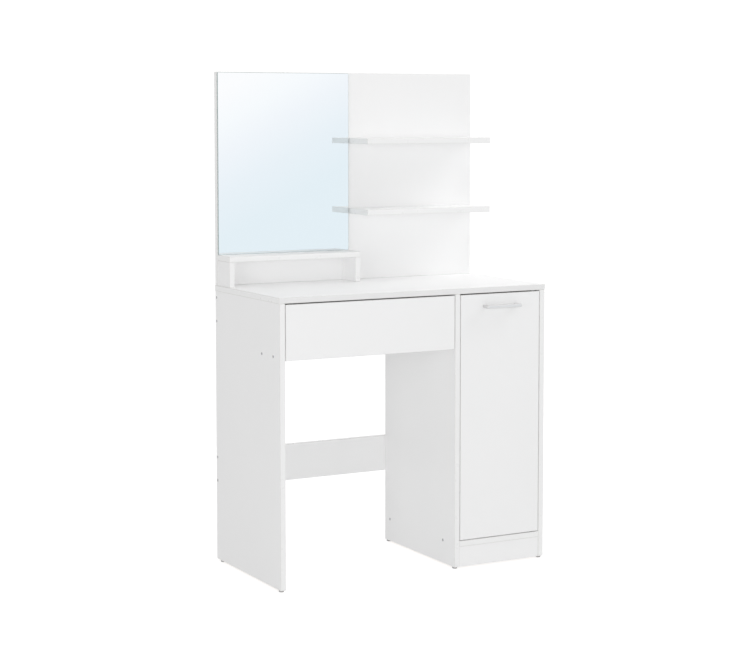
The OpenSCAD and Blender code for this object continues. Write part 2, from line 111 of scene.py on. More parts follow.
def chipboard(name):
    """Bare sawn particle board: cells of several browns, in chips of about 2 mm, and open pores."""
    material = finish_of(name, tones=((0.52, 0.36, 0.20), (0.66, 0.50, 0.31)), cloud=90,
                         rough=(0.75, 0.95), rough_scale=300, grain=700, relief=0.0003)
    nodes, links = material.node_tree.nodes, material.node_tree.links
    shader = nodes["Principled BSDF"]
    place = nodes.new("ShaderNodeTexCoord")
    chips = nodes.new("ShaderNodeTexVoronoi")
    chips.inputs["Scale"].default_value = 420
    links.new(place.outputs["Object"], chips.inputs["Vector"])
    grey = nodes.new("ShaderNodeSeparateColor")
    links.new(chips.outputs["Color"], grey.inputs["Color"])
    ground = shader.inputs["Base Color"].links[0].from_socket
    links.new(blended(nodes, links, grey.outputs["Red"], ground, (0.40, 0.26, 0.13)),
              shader.inputs["Base Color"])
    return material


WHITE = (0.962, 0.962, 0.962)
WHITE_FOIL = finish_of("white_foil", tones=(WHITE, (0.953, 0.954, 0.955)), cloud=5, rough=(0.34, 0.44),
                       rough_scale=14, grain=650, relief=0.00004)
EDGE_BAND = finish_of("white_edge_band", tones=((0.95, 0.95, 0.948), (0.935, 0.935, 0.933)), cloud=30,
                      rough=(0.26, 0.36), rough_scale=60, grain=260, relief=0.00003)
GLUE_LINE = finish_of("glue_line", tones=((0.80, 0.79, 0.77), (0.86, 0.86, 0.85)), cloud=160,
                      rough=(0.3, 0.45), rough_scale=200, grain=500, relief=0.00003)
BARE_BOARD = chipboard("bare_chipboard")
NEAR = 0.00001


def rows_of(collection, what, width=3, kind=float):
    """One value of every item of a mesh's collection, as rows."""
    values = np.empty(len(collection) * width, kind)
    collection.foreach_get(what, values)
    return values.reshape(-1, width)


def clean_copy(node):
    """The CAD solid's triangles with shared corners: (corners, triangles) as whole arrays."""
    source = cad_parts[node].data
    corners = np.round(rows_of(source.vertices, "co"), 7)
    wedges = rows_of(source.loops, "vertex_index", 1, int)
    unique, where = np.unique(corners, axis=0, return_inverse=True)
    triangles = where.reshape(-1)[wedges].reshape(-1, 3)
    whole = (triangles != np.roll(triangles, 1, axis=1)).all(1)
    return unique, triangles[whole]


def joined_faces(node, name):
    """A mesh of the CAD solid in which the triangles that lie in one plane are joined."""
    mesh = bpy.data.meshes.new(name)
    corners, triangles = clean_copy(node)
    mesh.from_pydata(corners, [], triangles)
    shape = bmesh.new()
    shape.from_mesh(mesh)
    bmesh.ops.dissolve_limit(shape, angle_limit=0.001, verts=shape.verts, edges=shape.edges)
    shape.to_mesh(mesh)
    shape.free()
    return mesh


def make_piece(name, mesh, body, materials, nodes):
    """Puts a mesh in the scene on its body, in place of its CAD nodes, with its materials in order."""
    piece = bpy.data.objects.new(name, mesh)
    bpy.context.scene.collection.objects.link(piece)
    for material in materials:
        mesh.materials.append(material)
    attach(piece, body)
    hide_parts(*nodes)
    return piece


def faced_board(node, body, raw=(), ease=0.0008, front_painted_shade=None):
    """The board's solid with its twelve outer edges eased, and its sides told apart.

    An edge is eased where both its ends lie on the same two sides of the board's box, and the eased faces
    show the glue line. A broad side is foil. A narrow side is edge band, or bare where raw names it as an
    axis and an end such as (2, 0). What lies inside the box, such as the wall of a hole, is bare. Corners
    that the easing leaves past the box are drawn back to it.
    """
    mesh = joined_faces(node, f"{node}_faced")
    points, ends = rows_of(mesh.vertices, "co"), rows_of(mesh.edges, "vertices", 2, int)
    centres, normals = rows_of(mesh.polygons, "center"), rows_of(mesh.polygons, "normal")
    planes = np.array([points.min(0), points.max(0)])
    on_plane = np.abs(points[:, None, :] - planes[None]) < NEAR
    outer = (on_plane[ends[:, 0]] & on_plane[ends[:, 1]]).sum((1, 2)) >= 2
    facing = np.abs(normals[:, None, :]) > 0.99
    at_side = facing & (np.abs(centres[:, None, :] - planes[None]) < NEAR)
    broad = int(np.argmin(planes[1] - planes[0]))
    surfaces = [WHITE_FOIL, EDGE_BAND, GLUE_LINE, BARE_BOARD]
    foil, band, glue, bare = range(4)
    kind = np.full(len(mesh.polygons), bare)
    kind[at_side.any((1, 2))] = band
    kind[at_side[:, :, broad].any(1)] = foil
    for axis, end in raw:
        kind[at_side[:, end, axis]] = bare
    # A darker finish given for the front narrow side paints shade along that edge.
    if front_painted_shade:
        kind[at_side[:, 0, 1]] = len(surfaces)
        surfaces.append(front_painted_shade)
    mesh.polygons.foreach_set("material_index", kind)
    shape = bmesh.new()
    shape.from_mesh(mesh)
    shape.edges.ensure_lookup_table()
    bmesh.ops.bevel(shape, geom=[shape.edges[at] for at in np.flatnonzero(outer)], offset=ease, segments=3,
                    profile=0.5, affect="EDGES", clamp_overlap=False, material=glue)
    shape.to_mesh(mesh)
    shape.free()
    mesh.vertices.foreach_set("co", np.clip(rows_of(mesh.vertices, "co"), *planes).reshape(-1))
    make_piece(f"{node}_faced", mesh, body, surfaces, (node,))


BOTTOM, TOP = (2, 0), (2, 1)
LEFT_END, RIGHT_END = (0, 0), (0, 1)
for panel in ("left_side_panel", "middle_panel", "right_side_panel"):
    faced_board(panel, "frame", (BOTTOM, TOP))


# ---------------------------------------------------------------------------------------------
# Rails: two upright boards across the back and one flat board under the drawer.
# They are the same faced board, cut square to butt between the panels, where their ends are bare.

for rail in ("upper_back_rail", "lower_back_rail", "under_drawer_rail"):
    faced_board(rail, "frame", (LEFT_END, RIGHT_END))


# ---------------------------------------------------------------------------------------------
# Cupboard: bottom board, kickboard under it, and a loose shelf inside.
# The bottom board and the kickboard are screwed and dowelled between the panels.

faced_board("cupboard_bottom_board", "frame", (LEFT_END, RIGHT_END))
faced_board("kickboard", "frame", (LEFT_END, RIGHT_END, BOTTOM))
faced_board("cupboard_shelf", "frame")


# ---------------------------------------------------------------------------------------------
# Desktop: one faced board over all three panels, edged all round, fixed from below with cams.
# Its front edge is coloured a shade darker than the other edges, as painted shade along that edge.

FRONT_EDGE_PAINTED_SHADE = finish_of("desktop_front_edge_painted_shade", tones=((0.875, 0.875, 0.874), (0.86, 0.86, 0.858)), cloud=30,
                       rough=(0.28, 0.38), rough_scale=60, grain=260, relief=0.00003)
faced_board("desktop", "frame", ease=0.001, front_painted_shade=FRONT_EDGE_PAINTED_SHADE)


# ---------------------------------------------------------------------------------------------
# Back boards and riser: two boards that stand on the rear of the desktop, two display shelves
# on the right one, and under the mirror a low riser of a top board on two side boards.

for board in ("mirror_back_board", "shelf_back_board"):
    faced_board(board, "frame", (BOTTOM,))
for board in ("upper_display_shelf", "lower_display_shelf", "riser_top_board"):
    faced_board(board, "frame")
for board in ("riser_left_side", "riser_right_side"):
    faced_board(board, "frame", (BOTTOM, TOP))


# ---------------------------------------------------------------------------------------------
# Mirror: one sheet of silvered glass, 4 mm thick, with ground and polished edges.
# Its back is painted, and strips of foam tape hold it to the back board.

def outline(low, high, inset, corner, steps=6):
    """A rectangle with round corners, drawn in by inset: corner centres plus a radius that shrinks with it.

    Each quarter turn adds steps points, and the result has the shape (4 * steps, 2).
    """
    turn = np.linspace(0, math.pi / 2, steps)[None] + np.arange(4)[:, None] * math.pi / 2
    radius = max(corner - inset, 0.0)
    signs = np.array([(1, 1), (-1, 1), (-1, -1), (1, -1)])
    middle, half = (np.array(high) + low) / 2, (np.array(high) - low) / 2
    centres = middle + signs * (half - max(corner, inset))
    ring = centres[:, None] + radius * np.stack([np.cos(turn), np.sin(turn)], -1)
    return ring.reshape(-1, 2)


def plate(low, high, axis, corner, ease):
    """A flat plate as nested outlines, from the middle of one side, round both rims, to the other's middle.

    The outline lies across the axis. At each rim the depth along the axis and the inset change together,
    in a quarter circle.
    """
    low, high = np.array(low), np.array(high)
    across = [a for a in range(3) if a != axis]
    turn = np.linspace(0, math.pi / 2, 4)
    rim = ease * (1 - np.sin(turn))
    drop = ease * (1 - np.cos(turn))
    insets = np.concatenate([rim, rim[::-1]])
    depths = np.concatenate([low[axis] + drop, high[axis] - drop[::-1]])
    rings = np.stack([outline(low[across], high[across], inset, corner) for inset in insets])
    grid = np.empty((len(insets) + 2, rings.shape[1], 3))
    grid[1:-1, :, across] = rings
    grid[1:-1, :, axis] = depths[:, None]
    grid[[0, -1]] = ((low + high) / 2)[None, None]
    grid[0, :, axis], grid[-1, :, axis] = low[axis], high[axis]
    return grid


def skin(name, grids, smooth=True, merge=1e-7):
    """One closed mesh from grids of points, each (rows, around, 3), with their seams and poles joined."""
    points, faces, start = [], [], 0
    for grid in grids:
        rows, around = grid.shape[:2]
        index = start + np.arange(rows * around).reshape(rows, around)
        turned_on = np.roll(index, -1, axis=1)
        faces.append(np.stack([index[:-1], turned_on[:-1], turned_on[1:], index[1:]], -1).reshape(-1, 4))
        points.append(grid.reshape(-1, 3))
        start += rows * around
    mesh = bpy.data.meshes.new(name)
    mesh.from_pydata(np.concatenate(points), [], np.concatenate(faces))
    shape = bmesh.new()
    shape.from_mesh(mesh)
    bmesh.ops.remove_doubles(shape, verts=shape.verts, dist=merge)
    bmesh.ops.recalc_face_normals(shape, faces=shape.faces)
    shape.to_mesh(mesh)
    shape.free()
    if smooth:
        mesh.set_sharp_from_angle(angle=math.radians(35))
    return mesh


SILVERED = finish_of("silvered_glass", tones=((0.84, 0.90, 0.925), (0.845, 0.905, 0.93)), cloud=3,
                     rough=(0.008, 0.016), rough_scale=9, grain=20, relief=0.0, metal=1.0)
GLASS_EDGE = finish_of("ground_glass_edge", tones=((0.38, 0.47, 0.46), (0.46, 0.55, 0.54)), cloud=120,
                       rough=(0.08, 0.2), rough_scale=200, grain=900, relief=0.00003)
BACK_PAINT = finish_of("mirror_back_paint", tones=((0.22, 0.24, 0.25), (0.28, 0.30, 0.31)), cloud=40,
                       rough=(0.5, 0.65), rough_scale=60, grain=400, relief=0.00005)

glass_low, glass_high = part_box("mirror_glass")
glass = skin("mirror_sheet", [plate(glass_low, glass_high, axis=1, corner=0.0015, ease=0.0007)],
             smooth=False)
facing_y = rows_of(glass.polygons, "normal")[:, 1]
glass.polygons.foreach_set("material_index", np.where(facing_y < -0.99, 0, np.where(facing_y > 0.99, 2, 1)))
make_piece("mirror_sheet", glass, "frame", (SILVERED, GLASS_EDGE, BACK_PAINT), ("mirror_glass",))


# ---------------------------------------------------------------------------------------------
# Hardboard sheets: the cupboard's back and the drawer's bottom, 3 mm thick, slid into grooves.
# One side is painted white at the works. The cupboard's back shows the brown fibre and its screen mark on the
# other side, and the drawer's bottom is painted white on both.

def hardboard_back(name):
    """Brown pressed fibre: a fine felt of two browns, crossed by the small mesh of the press screen."""
    material = finish_of(name, tones=((0.30, 0.185, 0.10), (0.38, 0.25, 0.145)), cloud=240,
                         rough=(0.7, 0.85), rough_scale=200, grain=900, relief=0.00012,
                         stretch=(1, 1, 0.35))
    nodes, links = material.node_tree.nodes, material.node_tree.links
    shader = nodes["Principled BSDF"]
    place = nodes.new("ShaderNodeTexCoord")
    screen = nodes.new("ShaderNodeTexChecker")
    screen.inputs["Scale"].default_value = 900
    links.new(place.outputs["Object"], screen.inputs["Vector"])
    press = nodes.new("ShaderNodeBump")
    press.inputs["Distance"].default_value = 0.00008
    links.new(screen.outputs["Fac"], press.inputs["Height"])
    links.new(shader.inputs["Normal"].links[0].from_socket, press.inputs["Normal"])
    links.new(press.outputs["Normal"], shader.inputs["Normal"])
    return material


PAINTED_FIBRE = finish_of("painted_hardboard", tones=((0.925, 0.925, 0.92), (0.91, 0.91, 0.90)), cloud=9,
                          rough=(0.42, 0.55), rough_scale=20, grain=800, relief=0.00006)
BROWN_FIBRE = hardboard_back("brown_hardboard")


def hardboard(node, body, axis, painted_end, rest):
    """A hardboard sheet with soft arrises: painted on the side that shows, and in rest's finish elsewhere."""
    low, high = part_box(node)
    mesh = skin(f"{node}_sheet", [plate(low, high, axis=axis, corner=0.001, ease=0.0003)], smooth=False)
    painted = rows_of(mesh.polygons, "normal")[:, axis] * painted_end > 0.9
    mesh.polygons.foreach_set("material_index", np.where(painted, 0, 1))
    make_piece(f"{node}_sheet", mesh, body, (PAINTED_FIBRE, rest), (node,))


hardboard("cupboard_back_board", "frame", axis=1, painted_end=-1, rest=BROWN_FIBRE)
hardboard("drawer_bottom_board", "drawer", axis=2, painted_end=1, rest=PAINTED_FIBRE)


# ---------------------------------------------------------------------------------------------
# Foam tape: four upright strips of white closed-cell foam behind the glass.
# Both sides are sticky, and they hold the glass to its back board.

FOAM = finish_of("foam_tape", tones=((0.86, 0.86, 0.84), (0.78, 0.78, 0.76)), cloud=300,
                 rough=(0.8, 0.95), rough_scale=300, grain=1400, relief=0.0002)


def loose_solids(node):
    """The separate solids of a CAD node, each as its corners.

    Every corner starts with a label of its own, and the corners of a triangle take their lowest label until
    nothing changes.
    """
    corners, triangles = clean_copy(node)
    label = np.arange(len(corners))
    changed = True
    while changed:
        lowest = label.copy()
        np.minimum.at(lowest, triangles, label[triangles].min(1)[:, None])
        lowest = lowest[lowest]
        changed = not np.array_equal(lowest, label)
        label = lowest
    return [corners[label == one] for one in np.unique(label)]


strips = [plate(strip.min(0), strip.max(0), axis=1, corner=0.0015, ease=0.0002)
          for strip in loose_solids("mirror_tape")]
make_piece("foam_strips", skin("foam_strips", strips, smooth=False), "frame", (FOAM,),
           ("mirror_tape",))


# ---------------------------------------------------------------------------------------------
# Connecting screws: zinc-plated steel, with a coarse thread, a cone head and a hexagon socket.
# They hold the rails and the cupboard's bottom board, and the back boards from below.

def lines_of(node, socket=False, longest=True):
    """Where each fastener of a node is: (head end, direction to the tip, length).

    The line runs along the solid's longest side, or its shortest. The head is at the wider end, or where
    there is a socket, at the end that has corners nearest to the line.
    """
    lines = []
    for corners in loose_solids(node):
        low, high = corners.min(0), corners.max(0)
        axis = int(np.argmax(high - low) if longest else np.argmin(high - low))
        middle = (low + high) / 2
        away = np.linalg.norm(np.delete(corners - middle, axis, 1), axis=1)
        ends = [away[np.abs(corners[:, axis] - end[axis]) < NEAR] for end in (low, high)]
        head_high = ends[1].min() < ends[0].min() if socket else ends[1].max() > ends[0].max() + NEAR
        head, along = middle.copy(), np.zeros(3)
        head[axis] = high[axis] if head_high else low[axis]
        along[axis] = -1 if head_high else 1
        lines.append((head, along, (high - low)[axis]))
    return lines


def carried_round(head, along, distance, radius):
    """Rings round a line, each at its distance (rows) from the head and its radius (rows, around)."""
    angle = np.arange(radius.shape[1]) * 2 * math.pi / radius.shape[1]
    side = np.roll(along, 1)
    ring = np.cos(angle)[:, None] * side + np.sin(angle)[:, None] * np.cross(along, side)
    return head + distance[:, None, None] * along + radius[..., None] * ring


AROUND = 24
AROUND_ANGLE = np.arange(AROUND) * 2 * math.pi / AROUND
HEXAGON = math.cos(math.pi / 6) / np.cos(AROUND_ANGLE % (math.pi / 3) - math.pi / 6)
CROSS = 0.4 + 0.6 * np.clip(2 * np.abs(np.cos(2 * AROUND_ANGLE)) - 1, 0, 1)


def screw(line, recess, shape, rim, neck, core, crest, pitch):
    """A screw's skin: the floor and wall of its recess, the head's rim, the neck, the thread and the tip.

    The thread's radius goes from core to crest on a ridge that climbs one pitch for each turn, with six rows
    to a pitch. Over the last 4 mm it shrinks to the tip.
    """
    head, along, length = line
    depth, reach = recess
    socket, plain = np.array([(depth, 0), (depth, reach * 0.8), (0, reach)]), np.array(rim)
    rows_a_pitch, tip, point, point_core, flank = 6, 0.0005, 0.004, 0.35, 3.2
    end = length - tip
    rows = np.linspace(neck, end, int((end - neck) / pitch * rows_a_pitch))
    climb = (rows[:, None] / pitch - AROUND_ANGLE / (2 * math.pi)) % 1
    ridge = np.clip(1 - flank * np.abs(climb - 0.5), 0, 1)
    taper = np.clip((end - rows) / point, 0, 1)[:, None]
    thread = core * (point_core + (1 - point_core) * taper) + (crest - core) * ridge * taper
    distance = np.concatenate([socket[:, 0], plain[:, 0], rows, [length]])
    radius = np.concatenate([socket[:, 1:] * shape, np.repeat(plain[:, 1:], AROUND, 1), thread,
                             np.zeros((1, AROUND))])
    return carried_round(head, along, distance, radius)


def threaded(node, body, socket, **sizes):
    """All screws of a node, each on its own line, as one piece."""
    name = f"{node}_threaded"
    screws = [screw(line, **sizes) for line in lines_of(node, socket)]
    make_piece(name, skin(name, screws), body, (ZINC,), (node,))


ZINC = finish_of("zinc_plated_steel", tones=((0.62, 0.63, 0.65), (0.50, 0.51, 0.54)), cloud=260,
                 rough=(0.22, 0.38), rough_scale=500, grain=1500, relief=0.00002, metal=1.0)
cone = [(0, 0.0023), (0, 0.0037), (0.0003, 0.004), (0.0026, 0.0025), (0.011, 0.0025), (0.0115, 0.0018)]
for node in ("frame_screws", "back_board_screws"):
    threaded(node, "frame", socket=True, recess=(0.0023, 0.002), shape=HEXAGON, rim=cone, neck=0.012,
             core=0.0018, crest=0.0025, pitch=0.0025)


# ---------------------------------------------------------------------------------------------
# Wood screws: countersunk, with a cross recess. They hold the display shelves and the riser
# through the back boards, and the drawer's back between its sides.

cone = [(0, 0.0021), (0, 0.0037), (0.0002, 0.004), (0.0022, 0.002), (0.012, 0.002), (0.0124, 0.0014)]
for node, body in (("shelf_screws", "frame"), ("drawer_screws", "drawer")):
    threaded(node, body, socket=True, recess=(0.0018, 0.0018), shape=CROSS, rim=cone, neck=0.0125,
             core=0.0014, crest=0.002, pitch=0.0018)


# ---------------------------------------------------------------------------------------------
# Small round-headed screws: zinc-plated steel, with a cross recess.
# They hold the runners, the catch and the handle.

dome = [(0.0001, 0.0018), (0.0002, 0.0024), (0.0005, 0.0028), (0.0009, 0.003), (0.0013, 0.003),
        (0.0013, 0.0015), (0.002, 0.0011)]
for node, body in (("cabinet_runner_screws", "frame"), ("drawer_runner_screws", "drawer"),
                   ("catch_screws", "frame"), ("handle_screws", "door")):
    threaded(node, body, socket=False, recess=(0.0012, 0.0016), shape=CROSS, rim=dome, neck=0.0021,
             core=0.0011, crest=0.0015, pitch=0.0012)


# ---------------------------------------------------------------------------------------------
# Cam bolts and cam locks: steel bolts with a ball head, and round zinc castings that grip them.
# A cross slot in a lock's face turns it, and the face sits flush with the board.

def turned(line, outline, around=AROUND, stretch=None):
    """A turned shape: each outline point (distance from the head, radius) goes once round the line.

    Where stretch is given, the outline's points past that distance keep their place from the tip, so that
    the shape is as long as the line.
    """
    head, along, length = line
    outline = np.array(outline, float)
    distance = outline[:, 0]
    if stretch is not None:
        distance = np.where(distance > stretch, distance - distance.max() + length, distance)
    return carried_round(head, along, distance, np.repeat(outline[:, 1:], around, 1))


CAST_ZINC = finish_of("cast_zinc", tones=((0.56, 0.565, 0.58), (0.46, 0.465, 0.48)), cloud=180,
                      rough=(0.38, 0.55), rough_scale=300, grain=1100, relief=0.00006, metal=1.0)
for node, body in (("cam_bolts", "frame"), ("drawer_cam_bolts", "drawer")):
    ball = [(0, 0), (0, 0.0026), (0.0008, 0.0034), (0.0018, 0.0035), (0.003, 0.0031), (0.0038, 0.0022),
            (0.0062, 0.0018), (0.007, 0.0025), (0.0235, 0.0025), (0.024, 0.0022), (0.0346, 0.0022),
            (0.035, 0.0016), (0.035, 0)]
    bolts = [turned(line, ball, stretch=0.02) for line in lines_of(node)]
    make_piece(f"{node}_turned", skin(f"{node}_turned", bolts), body, (ZINC,), (node,))

for node, body in (("cam_locks", "frame"), ("drawer_cam_locks", "drawer")):
    castings = []
    for head, along, length in lines_of(node, socket=True, longest=False):
        rows = np.array([(0.0024, 0), (0.0024, 0.0026), (0, 0.0036), (0, 0.0044), (0.0003, 0.0048),
                         (0.0003, 0.0062), (0, 0.0066), (0, 0.0072), (0.0003, 0.0075),
                         (length - 0.0004, 0.0075), (length, 0.0071), (length, 0)])
        radius = np.repeat(rows[:, 1:], AROUND, 1)
        radius[:3] *= CROSS
        castings.append(carried_round(head, along, rows[:, 0], radius))
    make_piece(f"{node}_cast", skin(f"{node}_cast", castings), body, (CAST_ZINC,), (node,))


# ---------------------------------------------------------------------------------------------
# Dowels: beech, 8 mm thick, with pressed flutes and chamfered ends.
# They line the boards up where cams or screws pull them together.

BEECH = finish_of("beech_dowel", tones=((0.62, 0.42, 0.24), (0.70, 0.51, 0.32)), cloud=220,
                  rough=(0.55, 0.7), rough_scale=300, grain=700, relief=0.0001,
                  stretch=(0.25, 0.25, 0.25))
flute_depth = 0.045
flutes = 1 - flute_depth * (np.arange(48) % 4 < 2)
pegs = []
for head, along, length in lines_of("wood_dowels"):
    rows = np.array([(0, 0), (0, 0.003), (0.001, 0.004), (length - 0.001, 0.004), (length, 0.003),
                     (length, 0)])
    pegs.append(carried_round(head, along, rows[:, 0], rows[:, 1:] * flutes))
make_piece("fluted_dowels", skin("fluted_dowels", pegs), "frame", (BEECH,), ("wood_dowels",))


# ---------------------------------------------------------------------------------------------
# Glide feet: grey plastic buttons, each on a nail that is knocked into the end of a panel.
# They keep the sawn ends off the floor.

GLIDE_GREY = finish_of("glide_grey_plastic", tones=((0.50, 0.50, 0.51), (0.43, 0.43, 0.44)), cloud=200,
                       rough=(0.4, 0.6), rough_scale=300, grain=900, relief=0.00004)
button = [(0, 0), (0, 0.0056), (0.0004, 0.0064), (0.0012, 0.0069), (0.002, 0.007), (0.0042, 0.007),
          (0.005, 0.0066), (0.005, 0.0015), (0.0175, 0.0015), (0.019, 0.0004), (0.019, 0)]
buttons = skin("glide_buttons", [turned(line, button, 32) for line in lines_of("glide_feet")])
make_piece("glide_buttons", buttons, "frame", (GLIDE_GREY,), ("glide_feet",))


# ---------------------------------------------------------------------------------------------
# Shelf pins: plain zinc-plated pins with chamfered ends.
# They push into holes in the panels and carry the loose shelf.

stub = [(0, 0), (0, 0.0021), (0.0004, 0.0025), (0.0156, 0.0025), (0.016, 0.0021), (0.016, 0)]
pins = skin("turned_shelf_pins", [turned(line, stub) for line in lines_of("shelf_pins")])
make_piece("turned_shelf_pins", pins, "frame", (ZINC,), ("shelf_pins",))


# ---------------------------------------------------------------------------------------------
# Drawer: a faced front, and two sides and a back of thinner board.
# Cams hold the front to the sides, and screws hold the back between them.

faced_board("drawer_front", "drawer")
FRONT_END, REAR_END = (1, 0), (1, 1)
for board in ("drawer_left_side", "drawer_right_side"):
    faced_board(board, "drawer", (FRONT_END, REAR_END))
faced_board("drawer_back_board", "drawer", (LEFT_END, RIGHT_END))


# ---------------------------------------------------------------------------------------------
# Runners: folded steel sheet, 1.2 mm thick, lacquered white. Channels are screwed to the panels
# and angles under the drawer's sides, each with the riveted axle of one roller.

def softened(node, name, body, material, ease):
    """The CAD solid's surface with every corner sharper than 40 degrees eased."""
    piece = make_piece(name, joined_faces(node, name), body, (material,), (node,))
    eased = piece.modifiers.new("eased_edges", "BEVEL")
    eased.width = ease
    eased.segments = 2
    eased.limit_method = "ANGLE"
    eased.angle_limit = math.radians(40)


LACQUER = finish_of("white_lacquer_on_steel", tones=((0.86, 0.86, 0.85), (0.83, 0.83, 0.825)), cloud=60,
                    rough=(0.28, 0.42), rough_scale=120, grain=480, relief=0.00005)
for side in ("left", "right"):
    softened(f"{side}_cabinet_runner", f"{side}_channel", "frame", LACQUER, 0.0002)
    softened(f"{side}_drawer_runner", f"{side}_angle", "drawer", LACQUER, 0.0002)


# ---------------------------------------------------------------------------------------------
# Rollers: moulded white nylon wheels that turn freely on the axles, with a crowned tread,
# a bored hub and a ring-shaped recess on the outer side.

NYLON = finish_of("moulded_nylon", tones=((0.86, 0.86, 0.83), (0.82, 0.82, 0.79)), cloud=150,
                  rough=(0.3, 0.42), rough_scale=260, grain=700, relief=0.00003)


def roller(node, recess_side):
    """A roller's skin: the closed outline of the bore, both faces and the crowned tread, turned round."""
    low, high = map(np.array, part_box(node))
    wide, bore, tread = high[0] - low[0], 0.00206, (high[2] - low[2]) / 2
    outline = np.array([
        (0, bore + 0.0002), (0, 0.0038), (0, tread - 0.0016), (0.0002, tread - 0.0008),
        (0.0008, tread - 0.0002), (0.0018, tread - 0.00003), (wide / 2, tread),
        (wide - 0.0018, tread - 0.00003), (wide - 0.0008, tread - 0.0002), (wide - 0.0002, tread - 0.0008),
        (wide, tread - 0.0012), (wide - 0.001, tread - 0.0017), (wide - 0.001, 0.0042), (wide, 0.0039),
        (wide, bore + 0.0002), (wide - 0.0002, bore), (0.0002, bore), (0, bore + 0.0002)])
    head, along = (low + high) / 2, np.array([recess_side, 0.0, 0.0])
    head[0] = low[0] if recess_side > 0 else high[0]
    return carried_round(head, along, outline[:, 0], np.repeat(outline[:, 1:], 48, 1))


for end in ("front", "rear"):
    for side, inward in (("left", 1), ("right", -1)):
        node = f"{end}_{side}_roller"
        wheel = skin(f"{node}_wheel", [roller(node, inward)])
        make_piece(f"{node}_wheel", wheel, node, (NYLON,), (node,))


# ---------------------------------------------------------------------------------------------
# Cupboard door: one faced board, edged all round.
# It hangs on two pivot pins near its right edge.

faced_board("cupboard_door", "door")


# ---------------------------------------------------------------------------------------------
# Pivots: steel pins pressed into the door's upper and lower ends.
# They turn in flanged bushes of dark nylon in the desktop and the cupboard's bottom board.

BUSH_NYLON = finish_of("bush_nylon", tones=((0.30, 0.30, 0.305), (0.25, 0.25, 0.255)), cloud=200,
                       rough=(0.35, 0.5), rough_scale=260, grain=800, relief=0.00003)
for end in ("upper", "lower"):
    peg = [(0, 0), (0, 0.0021), (0.0004, 0.0025), (0.0236, 0.0025), (0.024, 0.0021), (0.024, 0)]
    pin = skin(f"{end}_pivot_turned", [turned(line, peg) for line in lines_of(f"{end}_pivot_pin")])
    make_piece(f"{end}_pivot_turned", pin, "door", (ZINC,), (f"{end}_pivot_pin",))
    low, high = map(np.array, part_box(f"{end}_pivot_bush"))
    upward = 1 if end == "upper" else -1
    head, tall = (low + high) / 2, high[2] - low[2]
    head[2] = low[2] if upward > 0 else high[2]
    in_board, bore = 0.010, 0.00256
    flange = tall - in_board
    bush = [(0, 0.0028), (0, 0.0061), (0.0003, 0.0065), (flange - 0.0002, 0.0065), (flange, 0.0063),
            (flange, 0.004), (tall - 0.0003, 0.004), (tall, 0.0037), (tall, 0.0027), (tall - 0.0001, bore),
            (0.0002, bore), (0, 0.0028)]
    sleeve = skin(f"{end}_flanged_bush", [turned((head, np.array([0.0, 0.0, upward]), tall), bush, 32)])
    make_piece(f"{end}_flanged_bush", sleeve, "frame", (BUSH_NYLON,), (f"{end}_pivot_bush",))


# ---------------------------------------------------------------------------------------------
# Catch: a white plastic box with two magnets, screwed to the middle panel, and the thin steel
# strike plate on the door that it holds.

CATCH_PLASTIC = finish_of("catch_plastic", tones=((0.85, 0.85, 0.84), (0.82, 0.82, 0.81)), cloud=120,
                          rough=(0.3, 0.42), rough_scale=200, grain=900, relief=0.00003)
FERRITE = finish_of("ferrite_magnet", tones=((0.075, 0.075, 0.08), (0.11, 0.11, 0.115)), cloud=300,
                    rough=(0.45, 0.65), rough_scale=500, grain=1600, relief=0.00005)
softened("magnetic_catch", "catch_box", "frame", CATCH_PLASTIC, 0.0003)
softened("catch_magnets", "catch_magnet_block", "frame", FERRITE, 0.0003)
strike_low, strike_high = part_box("strike_plate")
strike = skin("steel_strike", [plate(strike_low, strike_high, axis=1, corner=0.002, ease=0.0002)],
              smooth=False)
make_piece("steel_strike", strike, "door", (ZINC,), ("strike_plate",))


# ---------------------------------------------------------------------------------------------
# Handle: a bow cast in one piece, plated in satin nickel, with a flat bar between two feet.
# Two screws through the door hold it.

def bow(low, high, foot, bar, outer, inner, soft):
    """A bow's skin: a soft-cornered section carried round the line between an outer and an inner outline.

    Both outlines run from the door along one foot, round a quarter turn, along the bar, and back the same
    way. The section's middle is halfway between them, and its half width is half the way from one to the
    other.
    """
    turn = np.linspace(0, math.pi / 2, 9)[1:-1]
    left, right, front, door = low[0], high[0], low[1], high[1]

    def half_outline(edge, end, radius):
        straight = np.stack([np.full(5, edge), np.linspace(door, end + radius, 5)], -1)
        bend = np.stack([edge + radius * (1 - np.cos(turn)), end + radius * (1 - np.sin(turn))], -1)
        run = np.stack([np.linspace(edge + radius, (left + right) / 2, 10), np.full(10, end)], -1)
        return np.concatenate([straight, bend, run])

    near = half_outline(left, front, outer)
    far = half_outline(left + foot, front + bar, inner)
    mirrored = [np.concatenate([line, (line * (-1, 1) + (left + right, 0))[-2::-1]]) for line in (near, far)]
    middle, reach = (mirrored[0] + mirrored[1]) / 2, (mirrored[0] - mirrored[1]) / 2
    length = np.linalg.norm(reach, axis=1, keepdims=True)
    angle = np.linspace(0, math.pi / 2, 5)[None] + np.arange(4)[:, None] * math.pi / 2
    side, rise = np.array([1, -1, -1, 1])[:, None], np.array([1, 1, -1, -1])[:, None]
    outward = (side * (length[:, None] - soft) + soft * np.cos(angle)[None]).reshape(len(middle), -1)
    upward = (rise * ((high[2] - low[2]) / 2 - soft) + soft * np.sin(angle)).reshape(-1)
    grid = np.empty((len(middle) + 2, upward.size, 3))
    grid[1:-1, :, :2] = middle[:, None] + outward[..., None] * (reach / length)[:, None]
    grid[1:-1, :, 2] = (low[2] + high[2]) / 2 + upward
    grid[0] = (*middle[0], (low[2] + high[2]) / 2)
    grid[-1] = (*middle[-1], (low[2] + high[2]) / 2)
    return grid


